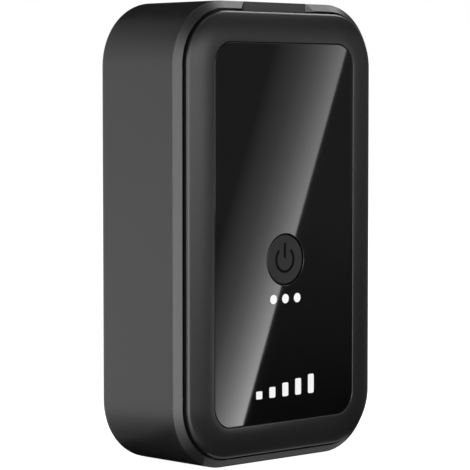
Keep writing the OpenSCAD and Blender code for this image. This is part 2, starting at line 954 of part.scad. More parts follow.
module battery_tape() {
    half = battery_tape_share * battery_w / 2;
    gap = (1 - battery_tape_share) * battery_h / 2;
    color(tape_dark)
        block([-half, battery_tape_y, battery_z + gap], [half, magnet_y, battery_z + battery_h - gap]);
}

module magnets() {
    color(nickel)
        magnet_places()
            bar_y(magnet_d / 2, magnet_y, magnet_back_y - seat_gap);
}

rear_housing();
front_bezel();
front_window();
window_tape();
case_seal();
case_screws();
power_button();
switch_stem();
switch_dome();
switch_base();
switch_cover();
port_cover();
main_board();
board_screws();
shield_can();
board_chips();
board_passives();
status_leds();
gnss_patch();
gnss_antenna();
cellular_antenna();
usb_shell();
usb_tongue();
sim_cage();
sim_contacts();
sim_card();
microphone();
microphone_boot();
insulation_film();
battery_cell();
battery_board();
battery_leads();
battery_tape();
magnets();
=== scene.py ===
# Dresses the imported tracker: a finish for every part, the domed bezel, the window and its marks, the
# press button, the soft port cover, the screws and the port's contacts, and a small studio round it.

import json
import math
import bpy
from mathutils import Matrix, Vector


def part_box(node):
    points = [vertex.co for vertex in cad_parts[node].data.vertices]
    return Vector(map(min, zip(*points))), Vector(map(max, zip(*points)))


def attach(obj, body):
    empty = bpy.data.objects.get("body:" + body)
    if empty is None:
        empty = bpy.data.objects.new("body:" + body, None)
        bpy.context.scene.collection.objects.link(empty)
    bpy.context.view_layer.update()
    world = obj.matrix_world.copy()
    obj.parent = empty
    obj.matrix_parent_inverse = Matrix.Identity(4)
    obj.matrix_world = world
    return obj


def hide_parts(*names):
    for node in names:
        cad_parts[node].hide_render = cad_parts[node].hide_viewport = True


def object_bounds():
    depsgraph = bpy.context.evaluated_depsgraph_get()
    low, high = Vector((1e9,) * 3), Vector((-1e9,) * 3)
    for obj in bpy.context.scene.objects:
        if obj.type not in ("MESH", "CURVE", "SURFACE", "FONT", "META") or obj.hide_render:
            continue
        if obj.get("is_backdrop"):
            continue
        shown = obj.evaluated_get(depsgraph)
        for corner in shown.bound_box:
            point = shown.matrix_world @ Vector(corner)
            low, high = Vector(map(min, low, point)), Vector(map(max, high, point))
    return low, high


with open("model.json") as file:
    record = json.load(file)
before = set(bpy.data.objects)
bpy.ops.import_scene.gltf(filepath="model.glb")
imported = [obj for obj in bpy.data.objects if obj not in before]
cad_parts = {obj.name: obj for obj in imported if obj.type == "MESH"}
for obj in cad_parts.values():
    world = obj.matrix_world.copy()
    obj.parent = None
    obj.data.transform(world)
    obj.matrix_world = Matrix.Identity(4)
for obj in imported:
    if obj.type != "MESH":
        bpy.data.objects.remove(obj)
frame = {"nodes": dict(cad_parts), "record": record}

from types import SimpleNamespace

import bmesh
import bpy
from bpy.props import FloatProperty, FloatVectorProperty, IntProperty, PointerProperty
from mathutils import Vector

bl_info = {
    "name": "Tracker Dresser",
    "version": (1, 0, 0),
    "blender": (4, 5, 0),
    "location": "View3D > Sidebar > Tracker",
    "description": "Makes the tracker's outer pieces and finishes round its packed parts",
    "category": "Object",
}

MM = 0.001
CLOTH_LIFT = 0.05 * MM
CARD_LIFT = 0.1 * MM
CAD_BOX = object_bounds()


def box_of(node):
    """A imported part's lowest and highest corners at rest."""
    return tuple(Vector(corner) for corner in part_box(node))


def middle_of(node):
    """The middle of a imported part's box at rest."""
    low, high = box_of(node)
    return (low + high) / 2


BEZEL_LOW, BEZEL_HIGH = box_of("front_bezel")
WINDOW_LOW, WINDOW_HIGH = box_of("front_window")
BUTTON_LOW, BUTTON_HIGH = box_of("power_button")
SCREWS_LOW, SCREWS_HIGH = box_of("case_screws")
POSTS_LOW, POSTS_HIGH = box_of("board_screws")
COVER_LOW, COVER_HIGH = box_of("port_cover")
BOARD_FRONT = box_of("main_board")[0].y
TONGUE_HIGH = box_of("usb_tongue")[1]


def property_of(kind, **settings):
    """A maker of properties of one kind, each from its name, description and default."""
    return lambda name, description, default: kind(
        name=name, description=description, default=default, **settings
    )


length = property_of(FloatProperty, unit="LENGTH", precision=5)
angle = property_of(FloatProperty, subtype="ANGLE")
level = property_of(FloatProperty, min=0)
count = property_of(IntProperty, min=1, max=9)
point = property_of(FloatVectorProperty, unit="LENGTH", precision=5, size=3)
window_spot = property_of(FloatVectorProperty, unit="LENGTH", precision=5, size=2)
colour = property_of(FloatVectorProperty, subtype="COLOR", size=3, min=0, max=1)


class BezelSizes(bpy.types.PropertyGroup):
    """Sizes of the domed bezel."""

    width: length("Width", "Width over the bezel", BEZEL_HIGH.x - BEZEL_LOW.x)
    height: length("Height", "Height over the bezel", BEZEL_HIGH.z - BEZEL_LOW.z)
    corner: length("Corner radius", "Radius of the outline's corners", 5.14 * MM)
    band: length("Band", "Width of the domed band", 2.9 * MM)
    rise: length("Rise", "Rise of the band from its edge to the window", 0.53 * MM)
    edge: length("Edge radius", "Rounding of the band's outer edge", 0.27 * MM)
    lip: length("Lip radius", "Rounding of the band's edge at the window", 0.06 * MM)
    depth: length("Depth", "Depth of the band, front to back", 1.94 * MM)
    drop: length("Lip thickness", "From the band's edge back to the groove", 0.24 * MM)
    groove: length("Groove", "Width of the groove under the lip", 0.6 * MM)
    groove_deep: length("Groove depth", "Depth of the groove under the lip", 0.35 * MM)
    floor: length("Floor", "Thickness of the floor behind the window", 0.75 * MM)
    lap: length("Floor lap", "Reach of the floor into the band", 0.4 * MM)
    skirt_in: length("Skirt inset", "From the case's side in to the skirt", 1.5 * MM)
    skirt: length("Skirt", "Thickness of the skirt behind the floor", 0.8 * MM)
    skirt_deep: length("Skirt depth", "Depth of the skirt behind the floor", 1.0 * MM)
    skirt_corner: length("Skirt corner", "Radius of the skirt's corners", 4.6 * MM)
    boss: length("Boss", "Radius of the bosses for the case screws", 1.6 * MM)
    boss_bore: length("Boss bore", "Radius of the bosses' bores", 0.62 * MM)
    post: length("Post", "Radius of the posts for the board", 1.3 * MM)
    post_bore: length("Post bore", "Radius of the posts' bores", 0.47 * MM)
    sunk: length("Sunk foot", "Depth to which skirt, bosses and posts stand in the floor", 0.05 * MM)
    light: length("Light bore", "Radius of the floor's bores over the indicators", 0.6 * MM)
    light_step: length("Light step", "Distance from one indicator's bore to the other", 4.8 * MM)


class ButtonSizes(bpy.types.PropertyGroup):
    """Sizes of the press button and its symbol."""

    radius: length("Radius", "Radius of the cap", 2.4 * MM)
    bore: length("Bore", "Radius of the bore round the cap", 2.5 * MM)
    edge: length("Edge radius", "Rounding of the cap's edge", 0.15 * MM)
    dish: length("Dish", "Depth of the hollow in the cap's face", 0.05 * MM)
    flange: length("Flange", "Thickness of the flange behind the cap", 0.35 * MM)
    symbol: length("Symbol radius", "Radius of the standby symbol's arc", 1.16 * MM)
    stroke: length("Stroke", "Width of the symbol's strokes", 0.24 * MM)
    gap: angle("Gap", "Half of the arc's opening at the top", math.radians(45))
    bar_low: level("Bar's foot", "Height of the symbol's bar, as a share of the arc's radius", 0.22)
    bar_high: level("Bar's top", "Height of the bar's upper end, as a share of the radius", 1.3)


class MarkSizes(bpy.types.PropertyGroup):
    """Sizes of the plain white marks printed on the window."""

    dot: length("Dot", "Diameter of the dots under the button", 0.9 * MM)
    dot_pitch: length("Dot pitch", "Distance from dot to dot", 1.6 * MM)
    dot_height: length("Dot height", "Height of the dots' centres", 15.7 * MM)
    dot_count: count("Dots", "Number of dots", 3)
    bar: length("Bar", "Width of the level bars", 0.8 * MM)
    bar_tall: length("Bar height", "Height of the tallest bar", 1.87 * MM)
    bar_least: level("Least bar", "Height of the first bar as a share of the tallest", 0.4)
    bar_pitch: length("Bar pitch", "Distance from bar to bar", 1.75 * MM)
    bar_height: length("Bars' height", "Height of the bars' feet", 6.3 * MM)
    bar_count: count("Bars", "Number of bars", 5)
    ink: length("Ink", "Thickness of the print", 0.012 * MM)


class EdgeSizes(bpy.types.PropertyGroup):
    """Widths of the softened edges."""

    soft: length("Cover", "Width of the port cover's rounded edges", 0.06 * MM)
    window: length("Window", "Width of the window's broken edges", 0.04 * MM)


class ScrewSizes(bpy.types.PropertyGroup):
    """Sizes of the case screws."""

    shank: length("Shank", "Radius of the shank", 0.6 * MM)
    head: length("Head", "Radius of the head", 1.25 * MM)
    head_deep: length("Head depth", "Depth of the countersunk head", 0.65 * MM)
    land: length("Land", "Width of the head's softened edge", 0.05 * MM)
    cross: length("Recess", "Length of the cross recess", 1.5 * MM)
    cross_width: length("Recess width", "Width of the cross recess", 0.35 * MM)
    cross_deep: length("Recess depth", "Depth of the cross recess", 0.4 * MM)


class ContactSizes(bpy.types.PropertyGroup):
    """Sizes of the gold strips on the charging socket's tongue."""

    width: length("Width", "Width of one strip", 0.32 * MM)
    long: length("Length", "Length of one strip", 2.3 * MM)
    pitch: length("Pitch", "Distance from strip to strip", 0.65 * MM)
    thick: length("Thickness", "Thickness of a strip, half of it let into the tongue", 0.06 * MM)
    setback: length("Setback", "From the tongue's tip down to the strips", 0.35 * MM)
    strips: count("Strips", "Number of strips", 5)


class FinishColours(bpy.types.PropertyGroup):
    """Colours of the finishes that show."""

    case: colour("Case", "Colour of the moulded case", (0.012, 0.012, 0.0125))
    bezel: colour("Bezel", "Colour of the satin bezel", (0.01, 0.01, 0.0105))
    window: colour("Window", "Colour of the gloss window", (0.003, 0.003, 0.0032))
    button: colour("Button", "Colour of the press button", (0.01, 0.01, 0.0105))
    cover: colour("Cover", "Colour of the soft port cover", (0.02, 0.02, 0.0205))
    print: colour("Print", "Colour of the marks", (0.9, 0.9, 0.9))
    symbol: colour("Symbol", "Colour of the standby symbol", (0.001, 0.001, 0.001))


class StudioSizes(bpy.types.PropertyGroup):
    """Places of the camera, the lamps and the cards."""

    turn: angle("Turn", "Camera's turn round the tracker", math.radians(-43.781))
    rise: angle("Rise", "Camera's rise over the horizon", math.radians(3.33))
    distance: length("Distance", "Camera's distance from its target", 218.737 * MM)
    lens: level("Lens", "Focal length in millimetres", 177.1)
    target: point("Target", "Point at the picture's middle", (-5.213 * MM, -4.32 * MM, 21.948 * MM))
    room: level("Room", "Brightness of the soft light from all sides", 0.27)
    floor: length("Floor", "Side of the floor", 3.0)
    lamp: length("Lamp", "Side of the square lamps", 0.2)
    lamp_reach: length("Lamp distance", "Distance of the lamps", 0.5)
    tent: length("Tent", "Distance of the dark tent round the lamps", 0.8)
    tent_high: length("Tent height", "Height of the dark tent", 3.0)
    strip: length("Strips", "Distance of the lit strips", 36 * MM)
    strip_foot: length("Strips' foot", "Distance at which the strips' foot on the floor starts", 13 * MM)
    strip_high: length("Strip height", "Height of the lit strips", 80 * MM)
    foot_reach: length("Foot card", "Reach of the lit card at the tracker's foot", 0.2 * MM)
    foot_deep: length("Foot card's depth", "Reach of the lit card under the bezel", 1.9 * MM)
    foot_inset: length("Foot card's inset", "From the bezel's left side to the lit card", 3 * MM)
    foot_level: level("Foot level", "Brightness of the foot card", 0.5)
    card_y: length("Card", "Place of the lit card in front of the window", -26 * MM)
    sheen_top: window_spot("Sheen top", "Upper end of the sheen's edge", (9.17 * MM, 41.5 * MM))
    sheen_bottom: window_spot("Sheen bottom", "Lower end of the sheen's edge", (-6.28 * MM, 2.5 * MM))
    sheen_width: length("Sheen width", "Width of the sheen on the window", 10 * MM)
    sheen_level: level("Sheen level", "Brightness of the sheen at its top", 3.0)
    sheen_gain: level("Sheen gain", "What the brightness gains on the way down", 4.2)


# Each lamp's turn and rise in degrees, and its level.
LAMPS = (
    ("left_lamp", -110, 5, 6.0),
    ("left_front_lamp", -60, 5, 6.0),
    ("front_left_lamp", -35, 5, 8.0),
    ("front_lamp", -10, 5, 4.0),
    ("front_right_lamp", 15, 5, 3.3),
    ("window_side_lamp", 40, 5, 0.55),
    ("right_front_lamp", 65, 5, 0.25),
    ("upper_right_lamp", 60, 45, 2.4),
    ("right_lamp", 100, 45, 6.0),
)

# Each strip's first and last turn in degrees, its share of the full height, and its level.
STRIPS = (
    ("side_strip", -165, -100, 1.0, 1.26),
    ("edge_strip", -80, -38, 1.0, 3.4),
    ("back_strip", 168, 195, 0.35, 0.42),
    ("right_strip", 80, 120, 0.6, 0.5),
)

# How light fades: up a strip, in over its foot, away from the sheen's edge, and down the veil.
HEIGHT_FADE = ((0.1, 1.0), (0.5, 0.8), (0.8, 0.2))
FOOT_FADE = ((0.36, 0.05), (0.8, 1.0))
SHEEN_FADE = (
    (0.0, 1.0), (0.08, 0.83), (0.16, 0.67), (0.26, 0.5), (0.4, 0.32), (0.6, 0.165), (0.8, 0.085), (1.0, 0.0)
)
VEIL_FADE = ((0.45, 0.15), (0.95, 0.0))


def around(turn, rise=0.0):
    """The direction at that turn round the tracker, from its front to its right, and that rise."""
    return Vector((math.sin(turn) * math.cos(rise), -math.cos(turn) * math.cos(rise), math.sin(rise)))


def maths(operation, reflected=False):
    """A method that adds a Math node for one of Python's operators, or for its reflected form."""

    def method(signal, other):
        values = (other, signal) if reflected else (signal, other)
        return signal.graph.maths(operation, *values)

    return method


class Signal:
    """An output socket, on which Python's operators add Math nodes."""

    def __init__(self, graph, socket):
        self.graph = graph
        self.socket = socket

    def __getitem__(self, name):
        """Another output of the same node."""
        return Signal(self.graph, self.socket.node.outputs[name])

    def __neg__(self):
        return self * -1

    __add__, __radd__ = maths("ADD"), maths("ADD", reflected=True)
    __sub__, __rsub__ = maths("SUBTRACT"), maths("SUBTRACT", reflected=True)
    __mul__, __rmul__ = maths("MULTIPLY"), maths("MULTIPLY", reflected=True)
    __truediv__, __rtruediv__ = maths("DIVIDE"), maths("DIVIDE", reflected=True)
    __gt__, __lt__ = maths("GREATER_THAN"), maths("LESS_THAN")


class Graph:
    """A node tree that is built from Python expressions."""

    def __init__(self, tree):
        self.tree = tree
        tree.nodes.clear()

    def node(self, kind, settings=None, *values, **named):
        """Adds one node: its settings first, then values or links for its inputs, by place or by name."""
        node = self.tree.nodes.new(kind)
        for key, value in (settings or {}).items():
            if key == "stops":
                set_stops(node.color_ramp, value)
            elif key == "items":
                while len(node.index_switch_items) < value:
                    node.index_switch_items.new()
            else:
                setattr(node, key, value)
        feeds = [(node.inputs[place], value) for place, value in enumerate(values)]
        feeds += [(self.find(node.inputs, key.replace("_", " ")), value) for key, value in named.items()]
        for socket, value in feeds:
            for item in value if isinstance(value, list) else [value]:
                if isinstance(item, Signal):
                    self.tree.links.new(item.socket, socket)
                else:
                    socket.default_value = item
        shown = [socket for socket in node.outputs if socket.enabled]
        return Signal(self, shown[0]) if shown else None

    @staticmethod
    def find(sockets, name):
        """The socket of that name, in small letters, that the node's settings leave in use."""
        return next(socket for socket in sockets if socket.enabled and socket.name.lower() == name)

    def maths(self, operation, *values):
        return self.node("ShaderNodeMath", {"operation": operation}, *values)

    def vector(self, x, y, z):
        return self.node("ShaderNodeCombineXYZ", x=x, y=y, z=z)

    def axes(self, point):
        """A point whose parts are read as point["X"], point["Y"] and point["Z"]."""
        return self.node("ShaderNodeSeparateXYZ", vector=point)

    def ramp(self, factor, stops):
        """The grey level between stops, each a place and a level."""
        return self.node("ShaderNodeValToRGB", {"stops": stops}, fac=factor)

    def glow(self, strength):
        """Plain white light of that strength, a number or a signal."""
        return self.node("ShaderNodeEmission", color=grey(1), strength=strength)


def set_stops(ramp, stops):
    """Gives a colour ramp its stops."""
    while len(ramp.elements) > 1:
        ramp.elements.remove(ramp.elements[-1])
    for index, (spot, shade) in enumerate(stops):
        stop = ramp.elements[0] if index == 0 else ramp.elements.new(spot)
        stop.position = spot
        stop.color = grey(shade)


def rgba(rgb, scale=1.0):
    return (rgb[0] * scale, rgb[1] * scale, rgb[2] * scale, 1)


def grey(shade):
    return rgba((shade, shade, shade))


class Finish(Graph):
    """A material whose patterns lie in the object's own space."""

    def __init__(self, name):
        self.material = bpy.data.materials.new(name)
        self.material.use_nodes = True
        super().__init__(self.material.node_tree)

    def spot(self, stretch=(1, 1, 1), turn=(0, 0, 0)):
        """The point on the surface in metres, stretched along the three axes and turned about them."""
        coordinates = self.node("ShaderNodeTexCoord")["Object"]
        return self.node("ShaderNodeMapping", vector=coordinates, scale=stretch, rotation=turn)

    def noise(self, size, detail=2.0, stretch=(1, 1, 1)):
        """Noise whose lumps are about that size in metres, from 0 to 1."""
        return self.node("ShaderNodeTexNoise", vector=self.spot(stretch), scale=1 / size, detail=detail)

    def cells(self, size):
        """The distance from the middles of cells of about that size in metres."""
        return self.node("ShaderNodeTexVoronoi", vector=self.spot(), scale=1 / size)

    def bricks(self, settings, size, turn, **inputs):
        """Rows of bricks of that size in metres, laid after the turn."""
        point = self.spot(turn=turn)
        return self.node("ShaderNodeTexBrick", settings, vector=point, scale=1 / size, **inputs)

    def blend(self, factor, first, second):
        """The colour between two colours."""
        return self.node("ShaderNodeMix", {"data_type": "RGBA"}, factor=factor, a=first, b=second)

    def bump(self, height, depth):
        """A surface normal that follows a height from 0 to 1, depth metres deep."""
        return self.node("ShaderNodeBump", height=height, distance=depth, strength=1.0)

    def ending(self, shader):
        """Ends the material in that shader."""
        self.node("ShaderNodeOutputMaterial", surface=shader)
        return self.material

    def surface(self, **inputs):
        """Ends the material in one Principled shader with these inputs."""
        return self.ending(self.node("ShaderNodeBsdfPrincipled", **inputs))


def moulded(name, rgb, rough, grain, depth, mottle=0.12, shine=0.5):
    """Plastic, rubber or foam from a finely textured mould."""
    finish = Finish(name)
    texture = finish.noise(grain, 3.0)
    cloud = finish.noise(9 * MM, 2.0)
    return finish.surface(
        base_color=finish.blend(cloud, rgba(rgb, 1 - mottle), rgba(rgb, 1 + mottle)),
        roughness=rough + 0.06 * (cloud - 0.5) + 0.08 * (texture - 0.5),
        normal=finish.bump(texture, depth),
        specular_ior_level=shine,
    )


def polished(name, rgb, rough=0.03):
    """Hard gloss with the faintest smears."""
    finish = Finish(name)
    smear = finish.noise(5 * MM, 4.0, (1, 1, 2.5))
    tone = finish.blend(smear, rgba(rgb, 0.8), rgba(rgb, 1.2))
    return finish.surface(base_color=tone, roughness=rough + 0.02 * smear)


def rolled_metal(name, rgb, rough=0.3, scratch=(1, 1, 30)):
    """Bare sheet or wire with fine drawing lines."""
    finish = Finish(name)
    lines = finish.noise(0.6 * MM, 3.0, scratch)
    return finish.surface(
        base_color=finish.blend(lines, rgba(rgb, 0.85), rgba(rgb, 1.1)),
        metallic=1.0,
        roughness=rough + 0.15 * (lines - 0.5),
        normal=finish.bump(lines, 0.004 * MM),
    )


def blackened_steel(name):
    """Black zinc on a small screw, worn a little on its high spots."""
    finish = Finish(name)
    worn = finish.noise(0.35 * MM, 3.0)
    mask = finish.ramp(worn, ((0.52, 0.0), (0.75, 1.0)))
    tone = finish.blend(mask, (0.045, 0.045, 0.05, 1), (0.16, 0.16, 0.165, 1))
    return finish.surface(base_color=tone, metallic=0.9, roughness=0.34 + 0.2 * (worn - 0.5))


def laminate(name):
    """Green solder mask over faint copper runs."""
    finish = Finish(name)
    runs = finish.bricks(
        {"offset": 0.5, "squash": 0.6, "squash_frequency": 3}, 4 * MM, (math.pi / 2, 0, math.radians(45)),
        color1=grey(0), color2=grey(0.25), mortar=grey(1), mortar_size=0.05, mortar_smooth=0.3,
    )
    weave = finish.noise(0.4 * MM, 1.0)
    return finish.surface(
        base_color=finish.blend(runs, (0.012, 0.09, 0.045, 1), (0.05, 0.22, 0.11, 1)),
        roughness=0.28 + 0.1 * weave,
        normal=finish.bump(runs * 0.7 + weave * 0.3, 0.02 * MM),
    )


def fired_ceramic(name):
    """Pale ceramic with fine dark specks."""
    finish = Finish(name)
    mask = finish.ramp(finish.cells(0.5 * MM), ((0.08, 1.0), (0.16, 0.0)))
    tone = finish.blend(mask, (0.62, 0.56, 0.45, 1), (0.3, 0.24, 0.18, 1))
    return finish.surface(base_color=tone, roughness=0.45 + 0.1 * finish.noise(0.8 * MM))


def amber_film(name):
    """Thin amber film over a copper layer."""
    finish = Finish(name)
    ripple = finish.noise(3 * MM, 3.0, (1, 1, 0.3))
    return finish.surface(
        base_color=finish.blend(ripple, (0.36, 0.16, 0.02, 1), (0.55, 0.27, 0.05, 1)),
        roughness=0.2 + 0.15 * ripple,
        normal=finish.bump(ripple, 0.05 * MM),
        coat_weight=0.4,
    )


def foil_pouch(name):
    """Embossed aluminium foil of a battery pouch."""
    finish = Finish(name)
    dimples = finish.cells(0.7 * MM)
    folds = finish.noise(6 * MM, 3.0, (1, 1, 0.4))
    return finish.surface(
        base_color=finish.blend(folds, (0.5, 0.51, 0.53, 1), (0.68, 0.69, 0.71, 1)),
        metallic=0.85,
        roughness=0.36 + 0.2 * (folds - 0.5),
        normal=finish.bump(dimples * 0.4 + folds * 0.6, 0.06 * MM),
    )


def card_face(name):
    """White card with gold pads let into its back."""
    finish = Finish(name)
    pads = finish.bricks(
        {"offset": 0.0, "squash": 1.0}, 5.6 * MM, (math.pi / 2, 0, 0),
        color1=grey(1), color2=grey(1), mortar=grey(0), mortar_size=0.03, row_height=0.5,
    )
    low, high, back = 30 * MM, 40.4 * MM, -2.46 * MM
    point = finish.axes(finish.spot())
    gold = pads * (point["Y"] > back) * (point["Z"] > low) * (point["Z"] < high)
    fibre = finish.noise(0.5 * MM)
    tone = finish.blend(fibre, (0.78, 0.78, 0.76, 1), (0.86, 0.86, 0.84, 1))
    return finish.surface(
        base_color=finish.blend(gold, tone, (0.8, 0.58, 0.22, 1)),
        metallic=gold,
        roughness=0.5 - 0.2 * gold + 0.08 * (fibre - 0.5),
    )


def insulated_wire(name):
    """One red and one black lead, told apart by their side."""
    finish = Finish(name)
    side = finish.axes(finish.spot())["X"] > 0
    shade = finish.noise(0.8 * MM)
    return finish.surface(
        base_color=finish.blend(side, (0.36, 0.02, 0.015, 1), grey(0.02)),
        roughness=0.42 + 0.15 * shade,
        normal=finish.bump(shade, 0.01 * MM),
    )


def printed_ink(name, rgb, shine=0.5):
    """Opaque screen print."""
    finish = Finish(name)
    film = finish.noise(0.12 * MM, 2.0)
    return finish.surface(
        base_color=finish.blend(film, rgba(rgb, 0.93), rgba(rgb)),
        roughness=0.4 + 0.1 * film,
        normal=finish.bump(film, 0.001 * MM),
        specular_ior_level=shine,
    )


def finish_for(slot_name):
    """The finish of one of the record's slots, made once, beside the plain one that the frame brings."""
    name = slot_name.replace("_", " ")
    known = bpy.data.materials.get(name)
    if known:
        return known
    tones = bpy.context.scene.tracker_colours
    # The first tone is painted shade: the near-black of the foam seal keeps the gap round the bezel as
    # black as deep shadow.
    gap_shade_black, ash, slate = (0.002, 0.002, 0.002), (0.018, 0.018, 0.018), (0.025, 0.025, 0.026)
    # Grain and depth are in millimetres here.
    makers = {
        "case_plastic": (moulded, dict(rgb=tones.case, rough=0.36, grain=0.11, depth=0.002)),
        "bezel_plastic": (moulded, dict(rgb=tones.bezel, rough=0.32, grain=0.09, depth=0.0012)),
        "window_gloss": (polished, dict(rgb=tones.window)),
        "button_plastic": (
            moulded, dict(rgb=tones.button, rough=0.46, grain=0.08, depth=0.002, shine=0.28)
        ),
        "silicone": (moulded, dict(rgb=tones.cover, rough=0.55, grain=0.14, depth=0.004, mottle=0.15)),
        # The seal foam's near-black colour and almost shineless surface are painted shade: they make the
        # gap between bezel and case look as black as deep shadow.
        "seal_foam": (moulded, dict(rgb=gap_shade_black, rough=0.9, grain=0.12, depth=0.005, mottle=0.15, shine=0.1)),
        "black_tape": (moulded, dict(rgb=ash, rough=0.6, grain=0.25, depth=0.01)),
        "screw_steel": (blackened_steel, {}),
        "spring_steel": (rolled_metal, dict(rgb=(0.56, 0.56, 0.57), rough=0.26, scratch=(1, 1, 12))),
        "tinned_steel": (rolled_metal, dict(rgb=(0.62, 0.61, 0.6), rough=0.34)),
        "board_laminate": (laminate, {}),
        "chip_plastic": (moulded, dict(rgb=slate, rough=0.5, grain=0.2, depth=0.006)),
        "ceramic": (fired_ceramic, {}),
        "led_plastic": (polished, dict(rgb=(0.75, 0.75, 0.66), rough=0.18)),
        "amber_film": (amber_film, {}),
        "gold_contact": (rolled_metal, dict(rgb=(0.83, 0.6, 0.25), rough=0.22)),
        "card_plastic": (card_face, {}),
        "cell_foil": (foil_pouch, {}),
        "lead_rubber": (insulated_wire, {}),
        "magnet_nickel": (rolled_metal, dict(rgb=(0.6, 0.59, 0.57), rough=0.16, scratch=(6, 6, 6))),
    }
    maker, values = makers[slot_name]
    for key in values.keys() & {"grain", "depth"}:
        values[key] *= MM
    return maker(name, **values)


def adjust(thing, **settings):
    """Sets several of a thing's own settings."""
    for key, value in settings.items():
        setattr(thing, key, value)


def new_object(name, data, *materials):
    """An object in the scene, with these materials on its mesh."""
    for material in materials:
        data.materials.append(material)
    thing = bpy.data.objects.new(name, data)
    bpy.context.scene.collection.objects.link(thing)
    return thing


def soften(piece, least=math.radians(30)):
    """Smooth shading that breaks at edges sharper than the least angle."""
    piece.data.shade_smooth()
    piece.data.set_sharp_from_angle(angle=least)


def tidy_mesh(mesh, gap=0.0005 * MM):
    """Joins doubled points and turns every face outwards."""
    shell = bmesh.new()
    shell.from_mesh(mesh)
    bmesh.ops.remove_doubles(shell, verts=shell.verts, dist=gap)
    bmesh.ops.recalc_face_normals(shell, faces=shell.faces)
    shell.to_mesh(mesh)
    shell.free()


def settle(piece, body, slot_name, *nodes):
    """Fastens a finished piece to its body and hides the imported parts that it stands for."""
    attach(piece, body)
    if nodes:
        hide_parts(*nodes)


